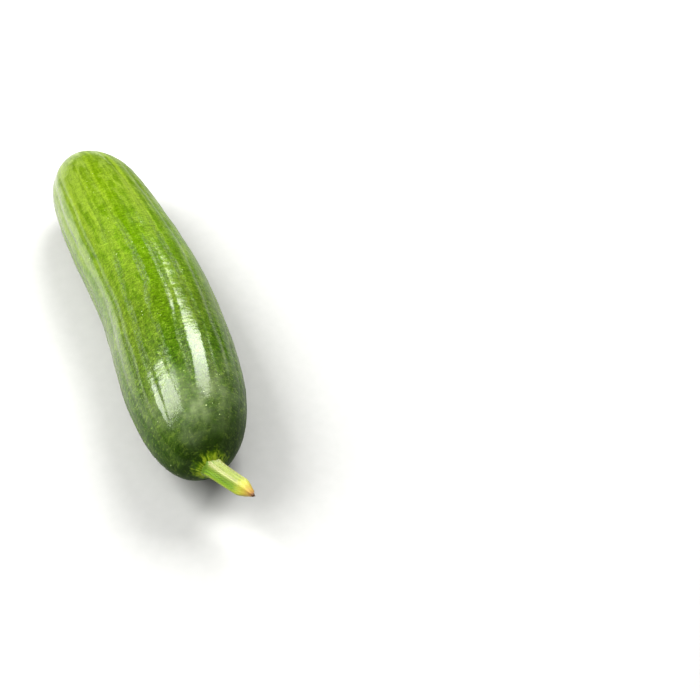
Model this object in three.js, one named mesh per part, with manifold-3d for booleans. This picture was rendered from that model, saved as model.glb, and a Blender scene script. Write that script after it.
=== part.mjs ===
// A small slicing cucumber lying on its side, with the torn stub of its stem.
// Units are millimetres. The fruit lies along X with its stem end at +X, and Z is up.
// The origin is the middle of the narrow flat that the fruit rests on.
import * as THREE from 'three';
import { mergeVertices } from 'three/addons/utils/BufferGeometryUtils.js';
import Module from 'manifold-3d';

// The fruit's driving dimensions
const FRUIT_LENGTH = 153.6;      // stem end to blossom end, along the chord
const BELLY_RADIUS = 18.3;       // half the thickness at mid-length
const TAPER = 1.2;               // radius lost evenly from mid-length to the blossom end
const LATE_TAPER = 4.3;          // more of the same, felt mostly near the ends
const END_NARROWING = 1.75;      // radius lost at both ends alike
const BOW = 5.6;                 // sideways bend of the middle against the ends
const BOW_SKEW = -1.0;           // the bow is fuller towards the stem end
const WAVE = 0.5;                // small second bend that makes the sides uneven
const WAVE_AT = 0.49;            // where along the length the wave crests
const SHOULDER_SHARE = 0.357;    // share of the length that the stem shoulder rounds over
const SHOULDER_POWER = 2.33;
const NOSE_SHARE = 0.15;         // share of the length that the blossom end rounds over
const NOSE_POWER = 2.4;
const SEED_CHAMBERS = 3;
const CHAMBER_TURN = 20;         // degrees from the top to the first chamber
const CHAMBER_SWELL = 0.22;      // each chamber pushes the skin out this far
const REST_CUT = 0.3;            // how far the weight flattens the underside

// The scar that the flower leaves, a small corky star in a shallow dimple
const SCAR_RADIUS = 2.3;
const SCAR_HEIGHT = 0.35;
const DIMPLE_RADIUS = 6.0;
const DIMPLE_DEPTH = 0.6;
const STAR_POINTS = 5;
const STAR_DEPTH = 0.12;         // share of the scar's radius between its points

// The stem stub, which grows a little off the middle of the shoulder
const ROOT_ASIDE = 1.4;          // off the fruit's middle line, towards +Y
const ROOT_ABOVE = 0.5;
const SHOULDER_SLOPE = 0.1;      // the shoulder leans back this much for each mm off
const STEM_RADIUS = 2.85;
const STEM_REACH = 15.4;         // from the shoulder to the tip, along X
const STEM_LEAN = 8.9;           // and towards +Y
const STEM_RISE = 0.8;
const STEM_TAPER = 0.1;          // share of the thickness lost along the stub
const STEM_RIBS = 5;
const RIB_HEIGHT = 0.28;
const FOOT_SPREAD = 0.8;         // how far the foot flares beyond the stub
const FOOT_RIM = 0.5;            // the flare starts this far down the shoulder
const FOOT_FLARE = 1.3;          // and dies away over about this length
const ROOT_DEPTH = 2.6;          // the uncut root reaches this far into the fruit
const TEAR_TURN = 50;            // degrees from the stub's top to the thin way of its tip
const TEAR_LENGTH = 6.0;         // the tear thins the tip over this length
const THIN_PINCH = 0.8;          // share of the thickness lost the thin way
const BROAD_PINCH = 0.3;         // and the broad way
const TEAR_SLANT = 3.0;          // how much shorter the tip is on its far side
const PITH_DEPTH = 0.6;
const SOCKET_GAP = 0.3;          // clearance between the stem's foot and the shoulder

// Long furrows between the ribs: angle from the top towards +Y in degrees, drift of
// that angle over the length, depth, half width, and where along the length each runs
const FURROWS = [
  { at: -164, drift: 4, depth: 0.15, width: 1.3, from: 0.06, to: 0.94 },
  { at: -143, drift: -5, depth: 0.2, width: 1.2, from: 0.05, to: 0.88 },
  { at: -124, drift: 3, depth: 0.18, width: 1.3, from: 0.1, to: 0.97 },
  { at: -106, drift: -4, depth: 0.25, width: 1.1, from: 0.04, to: 0.9 },
  { at: -87, drift: 5, depth: 0.2, width: 1.3, from: 0.07, to: 0.96 },
  { at: -68, drift: 0, depth: 0.2, width: 1.3, from: 0.05, to: 0.93 },
  { at: -52, drift: 2, depth: 0.18, width: 1.1, from: 0.05, to: 0.97 },
  { at: -33, drift: 15, depth: 0.25, width: 1.2, from: 0.04, to: 0.93 },
  { at: -13, drift: 9, depth: 0.22, width: 1.1, from: 0.1, to: 0.98 },
  { at: 5, drift: 6, depth: 0.28, width: 1.2, from: 0.07, to: 0.95 },
  { at: 23, drift: -8, depth: 0.2, width: 1.3, from: 0.04, to: 0.98 },
  { at: 42, drift: -4, depth: 0.2, width: 1.3, from: 0.08, to: 0.93 },
  { at: 63, drift: 3, depth: 0.22, width: 1.2, from: 0.05, to: 0.97 },
  { at: 84, drift: -3, depth: 0.2, width: 1.3, from: 0.07, to: 0.92 },
  { at: 104, drift: 4, depth: 0.22, width: 1.1, from: 0.04, to: 0.95 },
  { at: 125, drift: 5, depth: 0.18, width: 1.3, from: 0.09, to: 0.97 },
  { at: 146, drift: -3, depth: 0.2, width: 1.2, from: 0.06, to: 0.9 },
  { at: 166, drift: -2, depth: 0.15, width: 1.3, from: 0.05, to: 0.95 },
];
const FURROW_FADE = 0.12;        // share of the length over which a furrow runs out

// How finely the skin is divided
const LENGTH_STEPS = 58;
const RIB_STEPS = [0, 0.22, 0.5, 0.78];      // shares of the way to the next furrow
const SCAR_STEPS = [0.45, 0.8, 1.15];        // shares of the scar's radius
const STEM_STEPS = 16;
const STEM_SIDES = 30;

const radians = THREE.MathUtils.degToRad;
const smooth = THREE.MathUtils.smoothstep;
const halfLength = FRUIT_LENGTH / 2;

// Along the length, t runs from 0 at the stem end to 1 at the blossom end.
function bodyRadius(t) {
  const u = 2 * t - 1;
  return BELLY_RADIUS - TAPER * u - LATE_TAPER * u ** 3 - END_NARROWING * u ** 4;
}

function endRounding(t) {
  const shoulder = Math.max(0, 1 - t / SHOULDER_SHARE);
  const nose = Math.max(0, 1 - (1 - t) / NOSE_SHARE);
  return Math.sqrt((1 - shoulder ** SHOULDER_POWER) * (1 - nose ** NOSE_POWER));
}

function axisPoint(t) {
  const u = 2 * t - 1;
  const wave = WAVE * Math.cos(4 * Math.PI * (t - WAVE_AT));
  const bend = (BOW + BOW_SKEW * u + wave) * (1 - u * u);
  // The underside is straight, so the middle line drops as the fruit gets thinner.
  return new THREE.Vector3(-u * halfLength, bend - BOW, BELLY_RADIUS - REST_CUT - TAPER * u);
}

function furrowAngle(furrow, t) {
  return furrow.at + furrow.drift * (t - 0.5);
}

function furrowDepth(t, angle) {
  let depth = 0;
  for (const furrow of FURROWS) {
    const turn = THREE.MathUtils.euclideanModulo(angle - furrowAngle(furrow, t) + 180, 360) - 180;
    const away = radians(turn) * BELLY_RADIUS / furrow.width;
    const begins = smooth(t, furrow.from, furrow.from + FURROW_FADE);
    const ends = 1 - smooth(t, furrow.to - FURROW_FADE, furrow.to);
    depth += furrow.depth * begins * ends * Math.exp(-away * away);
  }
  return depth;
}

// How far the blossom end's skin stands out along -X at a distance from its centre
function noseRelief(radius, angle) {
  const star = SCAR_RADIUS * (1 + STAR_DEPTH * Math.cos(radians(STAR_POINTS * angle)));
  const button = SCAR_HEIGHT * (1 - smooth(radius, 0.75 * star, 1.1 * star));
  return button - DIMPLE_DEPTH * Math.exp(-((radius / DIMPLE_RADIUS) ** 2));
}

function skinPoint(t, angle) {
  const rounding = endRounding(t);
  const swell = CHAMBER_SWELL * Math.cos(radians(SEED_CHAMBERS * (angle - CHAMBER_TURN)));
  const radius = rounding * (bodyRadius(t) + swell - furrowDepth(t, angle));
  const point = axisPoint(t);
  if (t > 0.5) point.x -= noseRelief(radius, angle);
  point.y += radius * Math.sin(radians(angle));
  point.z += radius * Math.cos(radians(angle));
  return point;
}

// Stations run from the blossom end to the stem end. They crowd towards the rounded
// ends, with a few more across the blossom scar.
function lengthStations() {
  const stations = [];
  for (let i = 1; i < LENGTH_STEPS; i += 1) {
    stations.push(0.5 - 0.5 * Math.cos(Math.PI * i / LENGTH_STEPS));
  }
  for (const share of SCAR_STEPS) {
    const radius = share * SCAR_RADIUS / bodyRadius(1);
    stations.push(1 - NOSE_SHARE * (1 - (1 - radius ** 2) ** (1 / NOSE_POWER)));
  }
  return stations.sort((a, b) => b - a);
}

// Every furrow has a row of points in its bottom, so each angle follows its furrow.
function anglesAround(t) {
  const angles = [];
  FURROWS.forEach((furrow, i) => {
    const next = FURROWS[(i + 1) % FURROWS.length];
    const here = furrowAngle(furrow, t);
    const there = furrowAngle(next, t) + (next.at < furrow.at ? 360 : 0);
    for (const share of RIB_STEPS) angles.push(here + share * (there - here));
  });
  return angles;
}

// Joins rings of points into a closed skin, with one point at each end. The rings
// turn clockwise for someone who looks back from the last one.
function skinOver(rings, firstPole, lastPole) {
  const sides = rings[0].length;
  const positions = [firstPole, ...rings.flat(), lastPole].flatMap((p) => [p.x, p.y, p.z]);
  const last = 1 + rings.length * sides;
  const faces = [];
  for (let j = 0; j < sides; j += 1) {
    const k = (j + 1) % sides;
    faces.push(0, 1 + j, 1 + k);
    for (let i = 0; i + 1 < rings.length; i += 1) {
      const a = 1 + i * sides;
      const b = a + sides;
      faces.push(a + j, b + j, b + k);
      faces.push(a + j, b + k, a + k);
    }
    const end = 1 + (rings.length - 1) * sides;
    faces.push(end + j, last, end + k);
  }
  const geometry = new THREE.BufferGeometry();
  geometry.setAttribute('position', new THREE.Float32BufferAttribute(positions, 3));
  geometry.setIndex(faces);
  return geometry;
}

function fruitSkin(anglesAt) {
  const rings = lengthStations().map((t) => anglesAt(t).map((angle) => skinPoint(t, angle)));
  return skinOver(rings, skinPoint(1, 0), skinPoint(0, 0));
}

// The stub's middle line leaves the shoulder square and then leans to one side.
const shoulderPole = axisPoint(0);
const outwards = new THREE.Vector3(1, SHOULDER_SLOPE * ROOT_ASIDE, SHOULDER_SLOPE * ROOT_ABOVE);
const root = shoulderPole.clone().add(new THREE.Vector3(0, ROOT_ASIDE, ROOT_ABOVE));
const stemLine = new THREE.QuadraticBezierCurve3(
  root.clone().addScaledVector(outwards.normalize(), -ROOT_DEPTH),
  root,
  root.clone().add(new THREE.Vector3(STEM_REACH, STEM_LEAN, STEM_RISE)),
);
const stemSpan = stemLine.getLength();

// The tip is torn to a slanted edge, thin one way and broad the other.
function stemPoint(share, angle) {
  const reach = share * (stemSpan - TEAR_SLANT * (0.5 + 0.5 * Math.sin(angle)));
  const centre = stemLine.getPointAt(reach / stemSpan);
  const ahead = stemLine.getTangentAt(reach / stemSpan);
  const side = new THREE.Vector3(0, 0, 1).cross(ahead).normalize();
  const thin = new THREE.Vector3().crossVectors(ahead, side).applyAxisAngle(ahead, radians(-TEAR_TURN));
  const broad = new THREE.Vector3().crossVectors(thin, ahead);
  const flare = Math.exp(-Math.max(0, reach - ROOT_DEPTH + FOOT_RIM) / FOOT_FLARE);
  const rib = RIB_HEIGHT * Math.cos(STEM_RIBS * angle) * (1 + flare);
  const taper = 1 - STEM_TAPER * reach / stemSpan;
  const radius = (STEM_RADIUS + FOOT_SPREAD * flare + rib) * taper;
  const torn = smooth(reach, stemSpan - TEAR_LENGTH, stemSpan);
  return centre
    .addScaledVector(thin, radius * Math.cos(angle) * (1 - THIN_PINCH * torn))
    .addScaledVector(broad, radius * Math.sin(angle) * (1 - BROAD_PINCH * torn));
}

function stemSkin() {
  const rings = [];
  for (let i = 0; i <= STEM_STEPS; i += 1) {
    const ring = [];
    for (let j = 0; j < STEM_SIDES; j += 1) {
      ring.push(stemPoint(i / STEM_STEPS, 2 * Math.PI * j / STEM_SIDES));
    }
    rings.push(ring);
  }
  const pith = stemLine.getPointAt(1 - (0.5 * TEAR_SLANT + PITH_DEPTH) / stemSpan);
  return skinOver(rings, stemLine.getPointAt(0), pith);
}

// Solids are cut as closed bodies whose corners are shared.
const wasm = await Module();
wasm.setup();

function toSolid(geometry) {
  const bare = geometry.clone();
  bare.deleteAttribute('normal');
  bare.deleteAttribute('uv');
  const merged = mergeVertices(bare, 1e-5);
  return new wasm.Manifold(new wasm.Mesh({
    numProp: 3,
    vertProperties: new Float32Array(merged.attributes.position.array),
    triVerts: new Uint32Array(merged.index.array),
  }));
}

function toGeometry(solid) {
  const mesh = solid.getMesh();
  const geometry = new THREE.BufferGeometry();
  geometry.setAttribute('position', new THREE.BufferAttribute(mesh.vertProperties, 3));
  geometry.setIndex(new THREE.BufferAttribute(mesh.triVerts, 1));
  geometry.computeVertexNormals();
  return geometry;
}

// The underside is cut flat where the fruit presses on what it lies on.
function makeFruit() {
  const ground = new THREE.BoxGeometry(2 * FRUIT_LENGTH, 4 * BELLY_RADIUS, BELLY_RADIUS);
  ground.translate(0, 0, -BELLY_RADIUS / 2);
  return toSolid(fruitSkin(anglesAround)).subtract(toSolid(ground));
}

// The foot is hollowed to the shape of the shoulder, a hair larger than the shoulder.
function makeStem() {
  const evenAngles = Array.from({ length: STEM_SIDES }, (_, j) => 360 * j / STEM_SIDES);
  const shoulder = fruitSkin(() => evenAngles);
  const grow = 1 + SOCKET_GAP / BELLY_RADIUS;
  shoulder.translate(0, -shoulderPole.y, -shoulderPole.z);
  shoulder.scale(1 + SOCKET_GAP / halfLength, grow, grow);
  shoulder.translate(0, shoulderPole.y, shoulderPole.z);
  return toSolid(stemSkin()).subtract(toSolid(shoulder));
}

function namedPiece(name, solid, color, roughness) {
  const material = new THREE.MeshStandardMaterial({ color, roughness, metalness: 0 });
  const mesh = new THREE.Mesh(toGeometry(solid), material);
  mesh.name = name;
  return mesh;
}

const cucumber = new THREE.Group();
cucumber.name = 'cucumber';
cucumber.add(namedPiece('fruit', makeFruit(), 0x5b8a1e, 0.35));
cucumber.add(namedPiece('stem', makeStem(), 0xa8c43a, 0.55));

export default cucumber;
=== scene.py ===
# %% [markdown]
# # A small cucumber, dressed for the light
# The CAD model gives the cucumber's true size, bow and furrows. This scene gives it a living skin.
# A cucumber is one grown body, so there are only two things to make: the fruit with its waxy rind,
# and the stub of the stalk that was torn off when it was picked.
# Every form here repeats the CAD model's named dimensions, so the pieces lie exactly where it says.

import math

import bmesh
import bpy
import numpy as np
from mathutils import Euler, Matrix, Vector, noise


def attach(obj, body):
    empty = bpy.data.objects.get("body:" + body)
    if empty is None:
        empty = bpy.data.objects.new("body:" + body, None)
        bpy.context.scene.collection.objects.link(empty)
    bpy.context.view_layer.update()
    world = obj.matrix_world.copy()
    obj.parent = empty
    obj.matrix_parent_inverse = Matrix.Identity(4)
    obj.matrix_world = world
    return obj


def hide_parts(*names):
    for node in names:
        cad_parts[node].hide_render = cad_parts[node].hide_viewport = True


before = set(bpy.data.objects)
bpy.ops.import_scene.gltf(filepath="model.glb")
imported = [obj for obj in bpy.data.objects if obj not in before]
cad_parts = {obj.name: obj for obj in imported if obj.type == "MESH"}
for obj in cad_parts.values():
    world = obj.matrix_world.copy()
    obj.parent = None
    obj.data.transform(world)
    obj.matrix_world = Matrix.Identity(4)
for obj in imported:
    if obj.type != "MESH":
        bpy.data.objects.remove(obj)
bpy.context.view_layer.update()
MM = 0.001

# %% [markdown]
# ## The camera
# The photograph looks down at the cucumber from the stalk's end, from a little over half a metre away.
# An 85 mm lens at that distance gives the same gentle narrowing towards the far end.
# Cameras develop their pictures with more contrast than plain light values have. A display gamma under 1
# does the same: it deepens the greens and leaves white paper white.

# %% Place the camera
CAMERA_PLACE = (0.381262, -0.076727, 0.391761)
LOOK_DOWN = 46.075
LOOK_TURN = 69.135
CONTRAST = 0.82

camera = bpy.data.objects.new("camera", bpy.data.cameras.new("camera"))
camera.data.lens = 85
camera.data.sensor_width = 36
camera.location = CAMERA_PLACE
camera.rotation_euler = Euler((math.radians(90 - LOOK_DOWN), 0, math.radians(LOOK_TURN)))
bpy.context.collection.objects.link(camera)
bpy.context.scene.camera = camera
bpy.context.scene.view_settings.view_transform = "Standard"
bpy.context.scene.view_settings.gamma = CONTRAST
print("camera is", round(Vector(CAMERA_PLACE).length, 3), "m from the fruit")

# %% [markdown]
# ## Colours and nodes
# Colours are picked as screen colours, written in hex. Blender mixes light in linear values, so one
# function turns the one into the other. A second function adds a node, sets it and wires it up.

# %% Helpers for colours and nodes
FACTOR, FIRST, SECOND, MIXED = 0, 6, 7, 2  # the sockets of a node that mixes two colours, by number


def linear(hex_colour):
    """Turns a screen colour such as #8fb436 into Blender's linear red, green, blue and alpha."""
    parts = [int(hex_colour[i : i + 2], 16) / 255 for i in (1, 3, 5)]
    return (*[p / 12.92 if p <= 0.04045 else ((p + 0.055) / 1.055) ** 2.4 for p in parts], 1.0)


def add(tree, kind, links=None, out=0, stops=None, **settings):
    """Adds a node and gives one of its outputs. Links maps a socket to a value or to another output."""
    node = tree.nodes.new("ShaderNode" + kind)
    for name, value in settings.items():
        setattr(node, name, value)
    for number, (place, colour) in enumerate(stops or []):
        band = node.color_ramp.elements
        if number == 0:
            band.remove(band[-1])
        element = band.new(place) if number else band[0]
        element.position = place
        element.color = linear(colour) if isinstance(colour, str) else (colour, colour, colour, 1)
    for socket, value in (links or {}).items():
        if isinstance(value, bpy.types.NodeSocket):
            tree.links.new(value, node.inputs[socket])
        else:
            node.inputs[socket].default_value = value
    return node.outputs[out]


def new_material(name):
    """Starts a material with a surface shader, and gives it with its tree and that shader's node."""
    material = bpy.data.materials.new(name)
    material.use_nodes = True
    return material, material.node_tree, material.node_tree.nodes["Principled BSDF"]


# %% [markdown]
# ## Studio
# The two pale patches on the skin near the stalk are reflections of two soft lamps behind the fruit.
# A mirror rule finds them: the light stands where the camera's ray would bounce off the patch.
# The floor and the air are white, and that white shows again in the skin's pale left edge.

# %% White floor
PAPER_WHITE, PAPER_TINT = "#acacaa", "#b2b2b0"
PAPER_GRAIN = 4 * MM
FLOOR_REACH = 3.0

form = bmesh.new()
bmesh.ops.create_grid(form, x_segments=2, y_segments=2, size=FLOOR_REACH)
floor_mesh = bpy.data.meshes.new("floor")
form.to_mesh(floor_mesh)
form.free()
floor = bpy.data.objects.new("floor", floor_mesh)
bpy.context.collection.objects.link(floor)

paper, tree, surface = new_material("matt_paper")
grain = add(tree, "TexNoise", {"Vector": add(tree, "TexCoord", out="Object"), "Scale": 1 / PAPER_GRAIN})
whites = {FACTOR: grain, FIRST: linear(PAPER_WHITE), SECOND: linear(PAPER_TINT)}
tint = add(tree, "Mix", whites, MIXED, data_type="RGBA")
tree.links.new(tint, surface.inputs["Base Color"])
surface.inputs["Roughness"].default_value = 0.9
floor_mesh.materials.append(paper)
print("floor is", 2 * FLOOR_REACH, "m wide")

# %% Soft lamps and white air
LAMP_DISTANCE = 1.0
AIR_GLOW = 0.15
# Each lamp: the azimuth and elevation it hangs at, its width and height in metres, its turn and its watts.
LAMPS = {
    "lamp_far": (130, 51, 0.70, 0.49, -58, 15.0),
    "lamp_near": (-115, 46, 0.49, 0.75, 23, 17.0),
    "lamp_above": (-40, 62, 1.0, 1.0, 0, 7.0),
}


def soft_lamp(name, azimuth, elevation, width, height, turn, watts):
    """Hangs a rectangular lamp that faces the fruit, turned about its own middle."""
    lamp = bpy.data.lights.new(name, "AREA")
    lamp.shape = "RECTANGLE"
    lamp.size, lamp.size_y = width, height
    lamp.energy = watts
    a, e = math.radians(azimuth), math.radians(elevation)
    towards = Vector((math.cos(a) * math.cos(e), math.sin(a) * math.cos(e), math.sin(e)))
    stand = bpy.data.objects.new(name, lamp)
    stand.location = towards * LAMP_DISTANCE
    stand.rotation_mode = "QUATERNION"
    roll = Euler((0, 0, math.radians(turn))).to_quaternion()
    stand.rotation_quaternion = towards.to_track_quat("Z", "Y") @ roll
    bpy.context.collection.objects.link(stand)


for name, numbers in LAMPS.items():
    soft_lamp(name, *numbers)

world = bpy.data.worlds.new("white_air")
world.use_nodes = True
world.node_tree.nodes["Background"].inputs["Color"].default_value = (1, 1, 1, 1)
world.node_tree.nodes["Background"].inputs["Strength"].default_value = AIR_GLOW
bpy.context.scene.world = world
print("lamps:", ", ".join(LAMPS), "at", LAMP_DISTANCE, "m")

# %% [markdown]
# ## The fruit's form
# A cucumber swells from a flower, so it is round everywhere: a full belly, a long sloping shoulder
# under the stalk and a blunter nose. Shallow furrows run from end to end over its three seed chambers.
# A spin makes such a body: a row of points is turned round the X axis into a closed skin.
# The row is even in arc length, so that the rings stay a constant step apart over the round ends too.
# At first the skin is a unit spindle, whose x is the share along the fruit. Then every vertex moves out.

# %% Dimensions, as in the CAD model
FRUIT_LENGTH = 153.6 * MM
BELLY_RADIUS = 18.3 * MM
TAPER = 1.2 * MM
LATE_TAPER = 4.3 * MM
END_NARROWING = 1.75 * MM
BOW = 5.6 * MM
BOW_SKEW = -1.0 * MM
WAVE = 0.5 * MM
WAVE_AT = 0.49
SHOULDER_SHARE = 0.357
SHOULDER_POWER = 2.33
NOSE_SHARE = 0.15
NOSE_POWER = 2.4
REST_CUT = 0.3 * MM
CHAMBER_TURN = 20
CHAMBER_SWELL = 0.22 * MM
SCAR_RADIUS = 2.3 * MM
SCAR_HEIGHT = 0.35 * MM
DIMPLE_RADIUS = 6.0 * MM
DIMPLE_DEPTH = 0.6 * MM
FURROW_FADE = 0.12
# Each furrow: its angle from the top, its drift along the fruit, depth, width, where it starts and ends,
# and how fresh the green is on the ridge between it and the next one. The furrows at 5 and 23 degrees are
# shallower than the CAD model's, because the reflection between them has soft edges in the photograph.
FURROWS = [
    (-164, 4, 0.15, 1.3, 0.06, 0.94, 0.4),
    (-143, -5, 0.2, 1.2, 0.05, 0.88, 0.5),
    (-124, 3, 0.18, 1.3, 0.1, 0.97, 0.3),
    (-106, -4, 0.25, 1.1, 0.04, 0.9, 0.6),
    (-87, 5, 0.2, 1.3, 0.07, 0.96, 0.45),
    # The ridge from -68 to -52 degrees has no fresh green: its pale waxed green there is partly a painted
    # reflection along that flank.
    (-68, 0, 0.2, 1.3, 0.05, 0.93, 0.0),
    (-52, 2, 0.18, 1.1, 0.05, 0.97, 0.1),
    (-33, 15, 0.25, 1.2, 0.04, 0.93, 0.25),
    (-13, 9, 0.22, 1.1, 0.1, 0.98, 1.0),
    (5, 6, 0.12, 1.2, 0.07, 0.95, 0.3),
    (23, -8, 0.16, 1.3, 0.04, 0.98, 0.8),
    (42, -4, 0.2, 1.3, 0.08, 0.93, 0.7),
    (63, 3, 0.22, 1.2, 0.05, 0.97, 0.5),
    (84, -3, 0.2, 1.3, 0.07, 0.92, 0.6),
    (104, 4, 0.22, 1.1, 0.04, 0.95, 0.35),
    (125, 5, 0.18, 1.3, 0.09, 0.97, 0.5),
    (146, -3, 0.2, 1.2, 0.06, 0.9, 0.3),
    (166, -2, 0.15, 1.3, 0.05, 0.95, 0.45),
]


def smoothstep(value, low, high):
    """Rises softly from 0 at low to 1 at high."""
    share = np.clip((value - low) / (high - low), 0, 1)
    return share * share * (3 - 2 * share)


def body_radius(along):
    """The radius of the fruit without its round ends, at a share of the way from stalk to nose."""
    across = 2 * along - 1
    return BELLY_RADIUS - TAPER * across - LATE_TAPER * across**3 - END_NARROWING * across**4


def end_rounding(along):
    """Shrinks the radius to nothing at both ends, over a long shoulder and a short nose."""
    shoulder = np.maximum(0, 1 - along / SHOULDER_SHARE)
    nose = np.maximum(0, 1 - (1 - along) / NOSE_SHARE)
    return np.sqrt((1 - shoulder**SHOULDER_POWER) * (1 - nose**NOSE_POWER))


def axis_point(along):
    """The middle of the fruit, as x, y and z, at a share of the way from the stalk to the nose."""
    across = 2 * along - 1
    bow = BOW + BOW_SKEW * across + WAVE * np.cos(4 * math.pi * (along - WAVE_AT))
    height = BELLY_RADIUS - REST_CUT - TAPER * across
    return np.stack([-across * FRUIT_LENGTH / 2, bow * (1 - across**2) - BOW, height], axis=-1)


def spun(name, profile, steps):
    """Spins a row of (along, radius) points round X into one closed skin."""
    form = bmesh.new()
    ends = [form.verts.new((x, 0, 0)) for x in (0, 1)]
    bmesh.ops.subdivide_edges(form, edges=[form.edges.new(ends)], cuts=len(profile) - 2)
    for vertex, (along, radius) in zip(sorted(form.verts, key=lambda v: v.co.x), profile):
        vertex.co = (along, 0, radius)
    bmesh.ops.spin(
        form, geom=form.verts[:] + form.edges[:], axis=(1, 0, 0), cent=(0, 0, 0),
        angle=2 * math.pi, steps=steps, use_merge=True,
    )
    bmesh.ops.remove_doubles(form, verts=form.verts[:], dist=1e-6)
    bmesh.ops.recalc_face_normals(form, faces=form.faces[:])
    mesh = bpy.data.meshes.new(name)
    form.to_mesh(mesh)
    form.free()
    mesh.shade_smooth()
    piece = bpy.data.objects.new(name, mesh)
    bpy.context.collection.objects.link(piece)
    return piece


def places(mesh):
    """All vertices' places, one row each."""
    flat = np.empty(len(mesh.vertices) * 3)
    mesh.vertices.foreach_get("co", flat)
    return flat.reshape(-1, 3)


def keep(mesh, name, values):
    """Stores a value or a vector on every vertex, for the material to read."""
    kind, field = ("FLOAT_VECTOR", "vector") if values.ndim == 2 else ("FLOAT", "value")
    mesh.attributes.new(name, kind, "POINT").data.foreach_set(field, np.ravel(values))


# %% Spin the skin
RINGS = 400
SKIN_STEPS = 236

fine = 0.5 - 0.5 * np.cos(np.linspace(0, math.pi, 4001))
radius = end_rounding(fine) * body_radius(fine)
arc = np.concatenate([[0], np.cumsum(np.hypot(np.diff(fine * FRUIT_LENGTH), np.diff(radius)))])
rings = np.interp(np.linspace(0, arc[-1], RINGS), arc, fine)
fruit = spun("cucumber_fruit", list(zip(rings, end_rounding(rings))), SKIN_STEPS)
print("skin:", len(fruit.data.vertices), "vertices, a ring every", round(arc[-1] / RINGS / MM, 2), "mm")

# %% [markdown]
# ## Relief of the skin
# Up close the skin isn't smooth. The furrows pinch it, the flesh pushes out soft lumps, and as the fruit
# dries a little it wrinkles crosswise. All of this is a move along the radius, worked out at each vertex.
# Blender's seeded noise gives the uneven parts, stretched along or across the fruit as each one grows.

# %% Furrows and the ridges between them
PINCH = 0.72  # the furrows are narrower than the coarser CAD mesh can draw them
FURROW_REACH = 3.0  # mm from a furrow to where it no longer tells
RIDGE_EDGE = 5  # degrees over which a ridge's green changes into the next one's
# A furrow wanders to and fro in waves: degrees, waves along the fruit, and shift from furrow to furrow.
WANDERS = [(1.6, 13, 1.7), (0.7, 37, 2.9)]

unit = places(fruit.data)
along = unit[:, 0]
rounding = np.hypot(unit[:, 1], unit[:, 2])
turn = np.arctan2(unit[:, 1], unit[:, 2])
furrow_depth = np.zeros_like(along)
furrow_gap = np.full_like(along, FURROW_REACH)
freshness = np.zeros_like(along)
for number, (at, drift, depth, width, start, end, tone) in enumerate(FURROWS):
    next_at, next_drift = FURROWS[(number + 1) % len(FURROWS)][:2]
    wander = sum(size * np.sin(along * pace + shift * number) for size, pace, shift in WANDERS)
    middle = at + drift * (along - 0.5) + wander
    ridge_width = (next_at - at) % 360 + (next_drift - drift) * (along - 0.5)
    away = (np.degrees(turn) - middle + 180) % 360 - 180
    gap = np.abs(np.radians(away)) * BELLY_RADIUS
    strength = smoothstep(along, start, start + FURROW_FADE) * (1 - smoothstep(along, end - FURROW_FADE, end))
    furrow_depth += depth * MM * strength * np.exp(-((gap / (width * PINCH * MM)) ** 2))
    furrow_gap = np.minimum(furrow_gap, gap / MM + FURROW_REACH * (1 - strength))
    across = np.mod(np.degrees(turn) - middle, 360)
    beyond = smoothstep(across, ridge_width - RIDGE_EDGE, ridge_width + RIDGE_EDGE)
    freshness += tone * smoothstep(across, -RIDGE_EDGE, RIDGE_EDGE) * (1 - beyond)
print(len(FURROWS), "furrows reach", round(furrow_depth.max() / MM, 2), "mm deep")

# %% Lumps, wrinkles, strips and dents
LUMP_HEIGHT, LUMP_SIZE = 0.16 * MM, 9 * MM
WRINKLE_HEIGHT, WRINKLE_STEP, WRINKLE_REACH = 0.05 * MM, 1.9 * MM, 6 * MM
STRIP_HEIGHT, STRIP_WIDTH, STRIP_REACH = 0.03 * MM, 2.2 * MM, 40 * MM
DENT_DEPTH, DENT_SIZE = 0.2 * MM, (6 * MM, 5 * MM)
LUMP_SEED, WRINKLE_SEED, STRIP_SEED, DENT_SEED = 3.1, 17.7, 41.3, 61.9


def straight(radius):
    """Places on the fruit as if it were not bowed, which is where its patterns are laid out."""
    lengthwise = (0.5 - along) * FRUIT_LENGTH
    return np.stack([lengthwise, radius * np.sin(turn), radius * np.cos(turn)], axis=-1)


def rough(points, step, reach, seed):
    """Noise from -1 to 1 with a grain of one step along X and one reach round it."""
    grains = points / np.array([step, reach, reach]) + seed
    return np.array([noise.noise(Vector(grain)) for grain in grains])


even = straight(rounding * body_radius(along))
relief = LUMP_HEIGHT * rough(even, LUMP_SIZE, LUMP_SIZE, LUMP_SEED)
relief += WRINKLE_HEIGHT * rough(even, WRINKLE_STEP, WRINKLE_REACH, WRINKLE_SEED)
relief += STRIP_HEIGHT * rough(even, STRIP_REACH, STRIP_WIDTH, STRIP_SEED)
dents = np.clip(rough(even, *DENT_SIZE, DENT_SEED) - 0.2, 0, 0.4) / 0.4
relief -= DENT_DEPTH * dents * (1 - smoothstep(along, 0.1, 0.3))
swell = CHAMBER_SWELL * np.cos(3 * (turn - math.radians(CHAMBER_TURN)))
skin_radius = rounding * (body_radius(along) + swell - furrow_depth + relief * smoothstep(rounding, 0.1, 0.5))
skin = axis_point(along)
skin[:, 1] += skin_radius * np.sin(turn)
skin[:, 2] += skin_radius * np.cos(turn)
print("skin is rough by", round(np.ptp(relief) / MM, 2), "mm between its highest lump and its deepest dent")

# %% [markdown]
# ## The two ends
# The nose still has the corky scar where the flower dropped off: a small star in a shallow dimple.
# At the other end the stalk's five ribs run out into the shoulder and pull it up into a ridged collar.
# Both are relief round a centre, so each is a formula of the distance from it and the angle round it.

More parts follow.
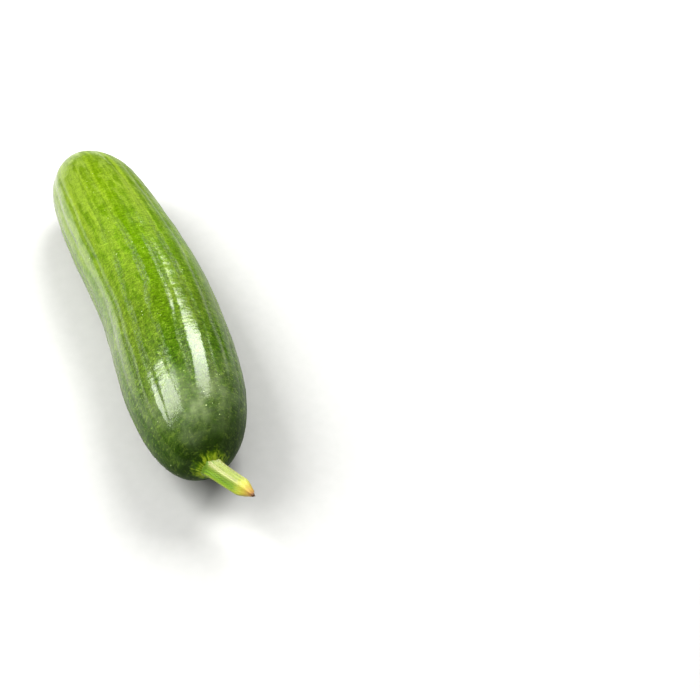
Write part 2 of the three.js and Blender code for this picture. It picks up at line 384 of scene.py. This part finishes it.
# %% Scar, dimple and collar
STAR_POINTS, STAR_DEPTH = 5, 0.12
ROOT_ASIDE, ROOT_ABOVE = 1.4 * MM, 0.5 * MM
STEM_RIBS = 5
COLLAR_RADIUS, COLLAR_WIDTH, COLLAR_HEIGHT = 3.0 * MM, 1.7 * MM, 0.9 * MM
COLLAR_RIDGING = 0.12  # the share of the collar's height by which its ridges stand out

star = SCAR_RADIUS * (1 + STAR_DEPTH * np.cos(STAR_POINTS * turn))
button = SCAR_HEIGHT * (1 - smoothstep(skin_radius, 0.75 * star, 1.1 * star))
dimple = DIMPLE_DEPTH * np.exp(-((skin_radius / DIMPLE_RADIUS) ** 2))
skin[:, 0] -= np.where(along > 0.5, button - dimple, 0)

root = axis_point(0.0) + np.array([0, ROOT_ASIDE, ROOT_ABOVE])
aside, higher = skin[:, 1] - root[1], skin[:, 2] - root[2]
from_root = np.hypot(aside, higher)
round_root = np.arctan2(aside, higher)
at_stalk = along < 0.2
collar = np.exp(-(((from_root - COLLAR_RADIUS) / COLLAR_WIDTH) ** 2))
ridges = np.cos(2 * STEM_RIBS * round_root + 0.6 * np.sin(3 * round_root))
ridges = 1 - COLLAR_RIDGING + COLLAR_RIDGING * ridges
skin[:, 0] += np.where(at_stalk, COLLAR_HEIGHT * collar * ridges, 0)
skin[:, 2] = np.maximum(skin[:, 2], 0)  # the narrow flat that it rests on
fruit.data.vertices.foreach_set("co", skin.ravel())

# %% Measures for the rind to read
NO_SCAR, NO_ROOT = 9.0, 30.0  # well away from the scar, in scar radii, and from the stalk's root, in mm
skin_values = {
    "place": even,
    "lengthwise": straight(BELLY_RADIUS),
    "along": along,
    "furrow_gap": furrow_gap,
    "freshness": freshness,
    "scar_gap": np.where(along > 0.5, skin_radius / star, NO_SCAR),
    "root_gap": np.where(at_stalk, from_root / MM, NO_ROOT),
    "round_root": np.stack([np.sin(round_root), np.cos(round_root), 0 * along], axis=-1),
}
for name, values in skin_values.items():
    keep(fruit.data, name, values)
fruit.data.update()
print(", ".join(skin_values))
print("fruit from", [round(v / MM, 1) for v in skin.min(0)], "to", [round(v / MM, 1) for v in skin.max(0)])

# %% [markdown]
# ## The stalk
# A cucumber's stalk has five ribs and a foot that spreads into the fruit. When it is torn off by hand,
# its end is pinched flat and frays. It starts as a thin spindle too, and its vertices move to where the
# stalk's own line, ribs and tear put them.

# %% Dimensions of the stalk, as in the CAD model
SHOULDER_SLOPE = 0.1
STEM_RADIUS = 2.85 * MM
STEM_REACH = 15.4 * MM
STEM_LEAN = 8.9 * MM
STEM_RISE = 0.8 * MM
STEM_TAPER = 0.1
RIB_HEIGHT = 0.28 * MM
FOOT_SPREAD = 0.8 * MM
FOOT_RIM = 0.5 * MM
FOOT_FLARE = 1.3 * MM
ROOT_DEPTH = 2.6 * MM
TEAR_TURN = 50
TEAR_LENGTH = 6.0 * MM
THIN_PINCH = 0.8
BROAD_PINCH = 0.3
TEAR_SLANT = 3.0 * MM

outwards = np.array([1, SHOULDER_SLOPE * ROOT_ASIDE / MM, SHOULDER_SLOPE * ROOT_ABOVE / MM])
outwards /= np.linalg.norm(outwards)
line_start = root - ROOT_DEPTH * outwards
line_end = root + np.array([STEM_REACH, STEM_LEAN, STEM_RISE])


def stem_line(share):
    """A point of the stalk's middle line, which bends once, at the shoulder."""
    share = share[:, None]
    return (1 - share) ** 2 * line_start + 2 * share * (1 - share) * root + share**2 * line_end


def stem_ahead(share):
    """The way that the stalk's middle line runs there, one unit long."""
    share = share[:, None]
    ahead = (1 - share) * (root - line_start) + share * (line_end - root)
    return ahead / np.linalg.norm(ahead, axis=1, keepdims=True)


line_shares = np.linspace(0, 1, 400)
line_steps = np.linalg.norm(np.diff(stem_line(line_shares), axis=0), axis=1)
lengths = np.concatenate([[0], np.cumsum(line_steps)])
STEM_SPAN = lengths[-1]
print("stalk is", round(STEM_SPAN / MM, 1), "mm long from its root in the flesh")

# %% Spin and shape the stalk
STEM_RINGS = 120
STEM_STEPS = 150
FRAY, FRAY_GRAIN, FRAY_SEED = 0.5 * MM, 3, 5.2
THREAD_HEIGHT, THREADS_ROUND = 0.05 * MM, 27

stem_profile = [(share, 1.0) for share in np.linspace(0, 1, STEM_RINGS)]
stem_profile = [(0, 0), (0, 0.5), *stem_profile, (1, 0.85), (1, 0.6), (1, 0.35), (1, 0)]
stem = spun("cucumber_stalk", stem_profile, STEM_STEPS)
unit = places(stem.data)
share = unit[:, 0]
fullness = np.hypot(unit[:, 1], unit[:, 2])
round_stem = np.arctan2(unit[:, 2], unit[:, 1])

edge = [(FRAY_GRAIN * math.cos(a), FRAY_GRAIN * math.sin(a), FRAY_SEED) for a in round_stem]
fray = np.array([noise.noise(Vector(spot)) for spot in edge])
reach = share * (STEM_SPAN - TEAR_SLANT * (0.5 + 0.5 * np.sin(round_stem)) + FRAY * fray * share**8)
on_line = np.interp(reach, lengths, line_shares)
ahead = stem_ahead(on_line)
side = np.cross([0, 0, 1], ahead)
side /= np.linalg.norm(side, axis=1, keepdims=True)
above = np.cross(ahead, side)
tear = math.radians(-TEAR_TURN)
thin = above * math.cos(tear) + np.cross(ahead, above) * math.sin(tear)
broad = np.cross(thin, ahead)
flare = np.exp(-np.maximum(0, reach - ROOT_DEPTH + FOOT_RIM) / FOOT_FLARE)
rib = RIB_HEIGHT * np.cos(STEM_RIBS * round_stem) * (0.75 - 0.3 * flare)
thread = THREAD_HEIGHT * np.cos(THREADS_ROUND * round_stem + 2 * np.sin(5 * reach / MM))
taper = 1 - STEM_TAPER * reach / STEM_SPAN
stem_radius = (STEM_RADIUS + FOOT_SPREAD * flare + rib + thread) * taper * fullness
torn = smoothstep(reach, STEM_SPAN - TEAR_LENGTH, STEM_SPAN)
stalk = stem_line(on_line)
stalk += thin * (stem_radius * np.cos(round_stem) * (1 - THIN_PINCH * torn))[:, None]
stalk += broad * (stem_radius * np.sin(round_stem) * (1 - BROAD_PINCH * torn))[:, None]
stem.data.vertices.foreach_set("co", stalk.ravel())
keep(stem.data, "reach", reach / STEM_SPAN)
keep(stem.data, "rib", np.cos(STEM_RIBS * round_stem))
wrapped_place = np.stack([np.cos(round_stem), np.sin(round_stem), reach / STEM_RADIUS], axis=-1)
keep(stem.data, "round_stem", wrapped_place)
stem.data.update()
print("stalk from", [round(v / MM, 1) for v in stalk.min(0)], "to", [round(v / MM, 1) for v in stalk.max(0)])

# %% [markdown]
# ## Cucumber rind
# Common name: cucumber rind. It grew as a tight green skin that sweats a thin wax. The eye sees crisp pale
# reflections in the wax over a dull, cloudy green. The green is old and dark at the stalk, and young and
# yellow at the nose, and painted shade darkens the stalk end further. Thick wax pales it in strips between
# the furrows. The furrows are grey and speckled, partly painted reflection, and painted shade lines their
# bottoms.
# It is built as layers of colour, each laid over the last by a mask, as a painter glazes.
# The masks are noise patterns, and each one's grain is set from its size on a real rind in millimetres.

# %% Patterns of the rind
# Length along the fruit and width round it in mm, then how fine the detail goes and how it is twisted.
PATTERNS = {
    "clouds": (14, 9, 2, 0),
    "patches": (7, 2.2, 4, 0.6),
    "bands": (45, 4, 2, 0),
    "breaks": (16, 5, 2, 0),
    "speckle": (0.7, 0.5, 2, 0),
    "flecks": (0.9, 1.7, 3, 1.0),
    "lines": (38, 2.0, 3, 0.3),
    "rays": (60, 5, 2, 0),
    "strokes": (1.0, 2.6, 4, 1.2),
    "cells": (0.42, 0.42, 2, 0),  # real cells are far finer, and wouldn't show
    "bloom_and_sheen": (9, 6, 4, 0),
    "clusters": (13, 9, 2, 0),
}
rind, tree, surface = new_material("cucumber_rind")
place = add(tree, "Attribute", out="Vector", attribute_name="place")
lengthwise = add(tree, "Attribute", out="Vector", attribute_name="lengthwise")
pattern = {}
for name, (length, width, detail, twist) in PATTERNS.items():
    # The long patterns keep their number of lines all the way, so they run together at the two ends.
    running = lengthwise if name in ("bands", "lines", "rays") else place
    grains = (1 / (length * MM), 1 / (width * MM), 1 / (width * MM))
    laid = add(tree, "Mapping", {"Vector": running, "Scale": grains})
    settings = {"Vector": laid, "Scale": 1.0, "Detail": detail, "Distortion": twist}
    pattern[name] = add(tree, "TexNoise", settings)
measure = {
    name: add(tree, "Attribute", out="Fac", attribute_name=name)
    for name in ("along", "furrow_gap", "freshness", "scar_gap", "root_gap")
}
print("patterns:", ", ".join(PATTERNS))

# %% Green, from the stalk to the nose: darkest at the stalk, partly the fruit's own old green and partly painted shade
CLEAR_GREEN = [
    (0.0, "#273c08"), (0.1, "#345207"), (0.2, "#446404"), (0.35, "#526d02"),
    (0.55, "#597900"), (0.8, "#5d7600"), (1.0, "#5b6f1a"),
]
WAXED_GREEN = [
    (0.0, "#324718"), (0.1, "#4a621d"), (0.2, "#5a731c"), (0.35, "#667c1e"),
    (0.55, "#708922"), (0.8, "#728728"), (1.0, "#72823e"),
]
shifted = add(tree, "Math", {0: pattern["clouds"], 1: 0.12, 2: -0.06}, operation="MULTIPLY_ADD")
ripeness_and_shade = add(tree, "Math", {0: measure["along"], 1: shifted}, operation="ADD")
clear = add(tree, "ValToRGB", {0: ripeness_and_shade}, stops=CLEAR_GREEN)
waxed = add(tree, "ValToRGB", {0: ripeness_and_shade}, stops=WAXED_GREEN)

# Wax lies in patches along long bands, and there is less of it on the fresh ridges.
patchy = add(tree, "Math", {0: pattern["patches"], 1: 3.4, 2: -1.9}, operation="MULTIPLY_ADD")
patchy = add(tree, "Math", {0: pattern["bands"], 1: 1.6, 2: patchy}, operation="MULTIPLY_ADD")
wax = add(tree, "Math", {0: measure["freshness"], 1: -0.7, 2: patchy}, operation="MULTIPLY_ADD")
wax_mask = add(tree, "ValToRGB", {0: wax}, stops=[(0.0, 0.0), (0.7, 1.0)])
print(len(CLEAR_GREEN), "clear greens under", len(WAXED_GREEN), "waxed ones")

# %% [markdown]
# ## Masks of the finer marks
# A mask is a pattern or a measure sent through a ramp, which says where the mark begins and where it is full.
# Two masks multiplied leave only what lies in both.

# %% Furrows on the older skin: grey and dull, partly a painted reflection, with painted shade along the crease
nearness = {0: pattern["patches"], 1: -1.8, 2: measure["furrow_gap"]}
ragged_gap = add(tree, "Math", nearness, operation="MULTIPLY_ADD")
in_furrow = add(tree, "ValToRGB", {0: ragged_gap}, stops=[(0.0, 1.0), (0.5, 0.0)])
speckled = add(tree, "ValToRGB", {0: pattern["speckle"]}, stops=[(0.4, 0.1), (0.6, 1.0)])
unbroken = add(tree, "ValToRGB", {0: pattern["breaks"]}, stops=[(0.42, 0.0), (0.54, 1.0)])
OLD_SKIN = [(0.08, 0.0), (0.16, 1.0), (0.5, 1.0), (0.66, 0.1)]
older = add(tree, "ValToRGB", {0: measure["along"]}, stops=OLD_SKIN)
# The grey speckled strips are partly the skin's dull grain and partly a painted reflection in the furrows.
dull_and_sheen = in_furrow
for part in (speckled, unbroken, older):
    dull_and_sheen = add(tree, "Math", {0: dull_and_sheen, 1: part}, operation="MULTIPLY")
# Painted shade: a dark green line along the bottom of each furrow.
crease_shade = add(tree, "ValToRGB", {0: measure["furrow_gap"]}, stops=[(0.0, 1.0), (0.5, 0.0)])
crease_shade = add(tree, "Math", {0: crease_shade, 1: unbroken}, operation="MULTIPLY")
print("furrows are dull between", OLD_SKIN[0][0], "and", OLD_SKIN[-1][0], "of the way")

# %% Pale lines on the young skin, and bloom on the shoulder, partly real and partly a painted sheen on its upper side
young = add(tree, "ValToRGB", {0: measure["along"]}, stops=[(0.45, 0.0), (0.75, 1.0)])
line_mask = add(tree, "ValToRGB", {0: pattern["lines"]}, stops=[(0.52, 0.0), (0.7, 1.0)])
pale_lines = add(tree, "Math", {0: young, 1: line_mask}, operation="MULTIPLY")

cloudy = add(tree, "ValToRGB", {0: pattern["bloom_and_sheen"]}, stops=[(0.35, 0.0), (0.65, 1.0)])
SHOULDER_BLOOM = [(0.02, 0.3), (0.06, 1.0), (0.13, 0.75), (0.22, 0.0)]
on_shoulder = add(tree, "ValToRGB", {0: measure["along"]}, stops=SHOULDER_BLOOM)
# The bloom is kept to the upper side of the shoulder, where its pale grey also stands for a painted sheen of
# the bright room.
upwards = add(tree, "SeparateXYZ", {0: place}, out="Z")
raised = add(tree, "Math", {0: upwards, 1: 1 / BELLY_RADIUS}, operation="MULTIPLY")
sheen_on_top = add(tree, "ValToRGB", {0: raised}, stops=[(0.3, 0.05), (0.8, 1.0)])
bloom_and_sheen = add(tree, "Math", {0: cloudy, 1: on_shoulder}, operation="MULTIPLY")
bloom_and_sheen = add(tree, "Math", {0: bloom_and_sheen, 1: sheen_on_top}, operation="MULTIPLY")
print("bloom is thickest at", SHOULDER_BLOOM[1][0], "of the way")

# %% Collar: the stalk's ribs run out into the skin as streaks of uneven length
turned = add(tree, "Attribute", out="Vector", attribute_name="round_root")
spokes = add(tree, "TexNoise", {"Vector": turned, "Scale": 2.0, "Detail": 2.0})
streak_end = add(tree, "Math", {0: spokes, 1: 3.6, 2: 1.0}, operation="MULTIPLY_ADD")
streak_end = add(tree, "Math", {0: pattern["patches"], 1: 3.0, 2: streak_end}, operation="MULTIPLY_ADD")
streak_end = add(tree, "Math", {0: pattern["flecks"], 1: 4.4, 2: streak_end}, operation="MULTIPLY_ADD")
into_collar = add(tree, "Math", {0: streak_end, 1: measure["root_gap"]}, operation="SUBTRACT")
into_collar = add(tree, "Math", {0: into_collar, 1: 0.4}, operation="MULTIPLY")
collar = add(tree, "ValToRGB", {0: into_collar}, stops=[(0.0, 0.0), (1.0, 1.0)])
threads = add(tree, "TexNoise", {"Vector": turned, "Scale": 7.0, "Detail": 2.0})
knots = add(tree, "Math", {0: pattern["flecks"], 1: 0.6, 2: -0.3}, operation="MULTIPLY_ADD")
threads = add(tree, "Math", {0: threads, 1: knots}, operation="ADD")
beside_foot = add(tree, "Math", {0: measure["root_gap"], 1: -0.08, 2: 0.38}, operation="MULTIPLY_ADD")
threads = add(tree, "Math", {0: threads, 1: beside_foot}, operation="ADD")
COLLAR_GREEN = [(0.36, "#456408"), (0.5, "#688408"), (0.64, "#97a832")]
collar_green = add(tree, "ValToRGB", {0: threads}, stops=COLLAR_GREEN)
print("collar has", len(COLLAR_GREEN), "greens")

# %% Breathing pores: pale dots a quarter of a millimetre wide, in loose clusters
PORE_SPACING = 1.4 * MM
pores = add(tree, "TexVoronoi", {"Vector": place, "Scale": 1 / PORE_SPACING}, out="Distance")
chance = add(tree, "SeparateColor", {0: pores.node.outputs["Color"]})
crowd = add(tree, "Math", {0: pattern["clusters"], 1: 0.5, 2: -0.37}, operation="MULTIPLY_ADD")
pore_size = add(tree, "Math", {0: chance, 1: 0.24, 2: crowd}, operation="MULTIPLY_ADD")
inside = add(tree, "Math", {0: pore_size, 1: pores}, operation="SUBTRACT")
pore_mask = add(tree, "ValToRGB", {0: inside}, stops=[(0.0, 0.0), (0.05, 1.0)])
print("pores are about", round(PORE_SPACING / MM, 1), "mm apart")

# %% Cork on the scar, with a dark rim and splits, and a pale halo round it
cork_edge = add(tree, "Math", {0: measure["scar_gap"], 1: -1.0, 2: 1.1}, operation="MULTIPLY_ADD")
cork = add(tree, "ValToRGB", {0: cork_edge}, stops=[(0.0, 0.0), (0.12, 1.0)])
scar_rim = add(tree, "ValToRGB", {0: measure["scar_gap"]}, stops=[(0.75, 0.0), (0.92, 1.0), (1.0, 0.0)])
split = add(tree, "ValToRGB", {0: pattern["rays"]}, stops=[(0.5, 0.0), (0.56, 1.0)])
split = add(tree, "Math", {0: split, 1: cork}, operation="MULTIPLY")
cork_rays = add(tree, "Math", {0: scar_rim, 1: split}, operation="MAXIMUM")
around_scar = add(tree, "Math", {0: measure["scar_gap"], 1: -0.4, 2: 1.2}, operation="MULTIPLY_ADD")
halo = add(tree, "ValToRGB", {0: around_scar}, stops=[(0.0, 0.0), (0.8, 1.0)])
print("masks are ready:", len(tree.nodes), "nodes so far")

# %% Lay the colours over each other
CORK_TONES = [(0.35, "#836f48"), (0.5, "#a08d62"), (0.65, "#b3a377")]
cork_colour = add(tree, "ValToRGB", {0: pattern["speckle"]}, stops=CORK_TONES)
pale_flecks = add(tree, "ValToRGB", {0: pattern["flecks"]}, stops=[(0.54, 0.0), (0.64, 1.0)])
dark_flecks = add(tree, "ValToRGB", {0: pattern["flecks"]}, stops=[(0.36, 1.0), (0.46, 0.0)])
GRAININESS = [(0.02, 0.45), (0.13, 1.0), (0.45, 0.6), (0.8, 0.35)]
grainy = add(tree, "ValToRGB", {0: measure["along"]}, stops=GRAININESS)
pale_flecks = add(tree, "Math", {0: pale_flecks, 1: grainy}, operation="MULTIPLY")
dark_flecks = add(tree, "Math", {0: dark_flecks, 1: grainy}, operation="MULTIPLY")
STROKE_TONES = [(0.28, 0.45), (0.5, 0.9), (0.72, 1.25)]
CELL_TONES = [(0.28, 0.4), (0.5, 0.88), (0.72, 1.35)]
stroke_tone = add(tree, "ValToRGB", {0: pattern["strokes"]}, stops=STROKE_TONES)
cell_tone = add(tree, "ValToRGB", {0: pattern["cells"]}, stops=CELL_TONES)
# Each layer: its mask, how strong it is, its colour and how it blends.
LAYERS = [
    (wax_mask, 1.0, waxed, "MIX"),
    (pale_lines, 0.42, linear("#93a634"), "MIX"),
    # Grey furrow strips: partly dull grain, partly painted reflection.
    (dull_and_sheen, 0.8, linear("#6c7c54"), "MIX"),
    # Painted shade along the furrow bottoms.
    (crease_shade, 0.35, linear("#30480c"), "MIX"),
    (pale_flecks, 0.3, linear("#93a846"), "MIX"),
    (dark_flecks, 0.45, linear("#2c4208"), "MIX"),
    (grainy, 0.9, stroke_tone, "MULTIPLY"),
    (grainy, 1.0, cell_tone, "MULTIPLY"),
    # Bloom on the shoulder: partly the wax's own bloom, partly a painted sheen.
    (bloom_and_sheen, 0.8, linear("#838e6a"), "MIX"),
    (collar, 0.9, collar_green, "MIX"),
    (pore_mask, 0.75, linear("#b4c08a"), "MIX"),
    (halo, 0.5, linear("#9aa552"), "MIX"),
    (cork, 0.9, cork_colour, "MIX"),
    (cork_rays, 0.5, linear("#6b5836"), "MIX"),
]
green = clear
for mask, strength, colour, how in LAYERS:
    amount = add(tree, "Math", {0: mask, 1: strength}, operation="MULTIPLY")
    mixing = {FACTOR: amount, FIRST: green, SECOND: colour}
    green = add(tree, "Mix", mixing, MIXED, data_type="RGBA", blend_type=how)
tree.links.new(green, surface.inputs["Base Color"])
print(len(LAYERS), "layers over the clear green")

# %% Gloss of the flesh and of the wax over it
# The flesh under the wax is rough and cloudy. The wax itself is the coat: thin, so it has a low weight, and
# dense, so its IOR is high. It is thinner on the old skin at the stalk and on the fresh strips, which look
# clear and deep green for that reason. Bloom and cork dull it.
SKIN_ROUGHNESS, SKIN_IOR, SKIN_SHINE = 0.42, 1.4, 0.04
WAX_ROUGHNESS, WAX_IOR = 0.16, 1.8

rough_skin = add(tree, "Math", {0: bloom_and_sheen, 1: 0.25, 2: SKIN_ROUGHNESS}, operation="MULTIPLY_ADD")
rough_skin = add(tree, "Math", {0: cork, 1: 0.3, 2: rough_skin}, operation="MULTIPLY_ADD")
tree.links.new(rough_skin, surface.inputs["Roughness"])

WAX_THICKNESS = [(0.04, 0.13), (0.11, 0.44), (0.2, 0.74), (0.7, 0.58)]
wax_weight = add(tree, "ValToRGB", {0: measure["along"]}, stops=WAX_THICKNESS)

# Along one flank nothing has rubbed the wax, so it lies thicker there and shows a paler, brighter rim.
sideways = add(tree, "SeparateXYZ", {0: lengthwise}, out="Y")
beside = add(tree, "Math", {0: sideways, 1: -1 / BELLY_RADIUS}, operation="MULTIPLY")
beside = add(tree, "Math", {0: pattern["patches"], 1: 0.12, 2: beside}, operation="MULTIPLY_ADD")
flank = add(tree, "ValToRGB", {0: beside}, stops=[(0.86, 0.0), (0.93, 1.0)])
far_half = add(tree, "ValToRGB", {0: measure["along"]}, stops=[(0.18, 0.0), (0.36, 1.0)])
rubbed_less = add(tree, "Math", {0: flank, 1: far_half}, operation="MULTIPLY")
wax_weight = add(tree, "Math", {0: rubbed_less, 1: 0.7, 2: wax_weight}, operation="MULTIPLY_ADD")
for mask, loss in ((bloom_and_sheen, -0.6), (cork, -0.9), (dull_and_sheen, -0.5), (measure["freshness"], -0.65)):
    still_there = add(tree, "Math", {0: mask, 1: loss, 2: 1.0}, operation="MULTIPLY_ADD")
    wax_weight = add(tree, "Math", {0: wax_weight, 1: still_there}, operation="MULTIPLY")
tree.links.new(wax_weight, surface.inputs["Coat Weight"])
surface.inputs["IOR"].default_value = SKIN_IOR
surface.inputs["Specular IOR Level"].default_value = SKIN_SHINE
surface.inputs["Coat Roughness"].default_value = WAX_ROUGHNESS
surface.inputs["Coat IOR"].default_value = WAX_IOR
print("wax has an IOR of", WAX_IOR, "and a roughness of", WAX_ROUGHNESS)

# %% Grain in mm of height: more in the flesh, and less in the wax, which fills it up
HEIGHTS = [("strokes", 0.10), ("cells", 0.035), ("patches", 0.14)]
WAX_HEIGHTS = [("strokes", 0.036), ("cells", 0.012), ("patches", 0.04), ("speckle", 0.016)]
PORE_HEIGHT = 0.02
coarser = add(tree, "ValToRGB", {0: measure["along"]}, stops=[(0.1, 1.0), (0.5, 0.7)])
for layers, socket in ((HEIGHTS, "Normal"), (WAX_HEIGHTS, "Coat Normal")):
    height = add(tree, "Math", {0: pore_mask, 1: PORE_HEIGHT}, operation="MULTIPLY")
    for name, millimetres in layers:
        height = add(tree, "Math", {0: pattern[name], 1: millimetres, 2: height}, operation="MULTIPLY_ADD")
    height = add(tree, "Math", {0: height, 1: coarser}, operation="MULTIPLY")
    bump = add(tree, "Bump", {"Height": height, "Distance": MM, "Strength": 1.0})
    tree.links.new(bump, surface.inputs[socket])
fruit.data.materials.append(rind)
print("rind has", len(tree.nodes), "nodes")

# %% [markdown]
# ## Fresh stalk
# The stalk is fibrous and paler than the fruit: yellow green with pale threads along its ribs.
# Towards the tear it yellows, and the frayed edge has dried to orange and brown.

# %% Green of the stalk, with painted light: paler on the side that faces up, as painted sunlight, and darker on the other, as painted shade
flesh, tree, surface = new_material("fresh_stalk")
reach_share = add(tree, "Attribute", out="Fac", attribute_name="reach")
rib_share = add(tree, "Attribute", out="Fac", attribute_name="rib")
wrapped = add(tree, "Attribute", out="Vector", attribute_name="round_stem")
stretched = add(tree, "Mapping", {"Vector": wrapped, "Scale": (9.0, 9.0, 0.5)})
fibres = add(tree, "TexNoise", {"Vector": stretched, "Scale": 1.0, "Detail": 3.0})
# Painted light: one side of the stalk is painted paler, as if lit, and the other darker, as if in shade.
facing = add(tree, "SeparateXYZ", {0: wrapped}, out="X")
painted_sun = add(tree, "Math", {0: facing, 1: 0.5, 2: 0.5}, operation="MULTIPLY_ADD")
painted_sun = add(tree, "ValToRGB", {0: painted_sun}, stops=[(0.35, 0.0), (0.7, 1.0)])
PAINTED_SHADE_GREEN = [(0.0, "#6a8a02"), (0.6, "#7f9a10"), (1.0, "#93a240")]
PAINTED_SUN_GREEN = [(0.0, "#818c40"), (0.6, "#8c9250"), (1.0, "#979a60")]
painted_shade_green = add(tree, "ValToRGB", {0: rib_share}, stops=PAINTED_SHADE_GREEN)
painted_sun_green = add(tree, "ValToRGB", {0: rib_share}, stops=PAINTED_SUN_GREEN)
painted_light_facets = {FACTOR: painted_sun, FIRST: painted_shade_green, SECOND: painted_sun_green}
green = add(tree, "Mix", painted_light_facets, MIXED, data_type="RGBA")
fibre_tone = add(tree, "ValToRGB", {0: fibres}, stops=[(0.3, 0.6), (0.5, 0.95), (0.7, 1.25)])
toned = {FACTOR: 1.0, FIRST: green, SECOND: fibre_tone}
green = add(tree, "Mix", toned, MIXED, data_type="RGBA", blend_type="MULTIPLY")

# The foot is mottled with the rind's own green, which hides where the two meet.
FOOT_GREEN = "#587a0a"
mottle = add(tree, "TexNoise", {"Vector": wrapped, "Scale": 3.6, "Detail": 3.0, "Distortion": 0.8})
from_foot = add(tree, "Math", {0: reach_share, 1: -1.7, 2: 0.63}, operation="MULTIPLY_ADD")
mottle = add(tree, "Math", {0: mottle, 1: from_foot}, operation="ADD")
foot = add(tree, "ValToRGB", {0: mottle}, stops=[(0.88, 0.0), (0.97, 0.9)])
footed = {FACTOR: foot, FIRST: green, SECOND: linear(FOOT_GREEN)}
green = add(tree, "Mix", footed, MIXED, data_type="RGBA")
print("stalk is green and has a mottled foot")

# %% Dry end of the stalk, and its gloss
STALK_ROUGHNESS, SAP_FILM, SAP_ROUGHNESS = 0.45, 0.12, 0.3
FIBRE_HEIGHT = 0.15 * MM
ragged = add(tree, "Math", {0: fibres, 1: 0.08, 2: reach_share}, operation="MULTIPLY_ADD")
dry = add(tree, "ValToRGB", {0: ragged}, stops=[(0.68, 0.0), (0.82, 0.8), (1.0, 1.0)])
DRY_STALK = [(0.8, "#b4b23c"), (0.93, "#b09038"), (0.99, "#96682a"), (1.0, "#6a4620")]
dry_tone = add(tree, "ValToRGB", {0: ragged}, stops=DRY_STALK)
drying = {FACTOR: dry, FIRST: green, SECOND: dry_tone}
dried = add(tree, "Mix", drying, MIXED, data_type="RGBA")
tree.links.new(dried, surface.inputs["Base Color"])
bump = add(tree, "Bump", {"Height": fibres, "Distance": FIBRE_HEIGHT, "Strength": 1.0})
tree.links.new(bump, surface.inputs["Normal"])
surface.inputs["Roughness"].default_value = STALK_ROUGHNESS
surface.inputs["Coat Weight"].default_value = SAP_FILM
surface.inputs["Coat Roughness"].default_value = SAP_ROUGHNESS
stem.data.materials.append(flesh)
print("stalk has", len(tree.nodes), "nodes")

# %% [markdown]
# ## Hand the pieces to the frame
# Both pieces stand for their CAD solids and ride on the only body, which a loose fruit has.

# %% Ride and replace
for piece, node, slot in ((fruit, "fruit", "skin"), (stem, "stem", "stalk")):
    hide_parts(node)
    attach(piece, "root")
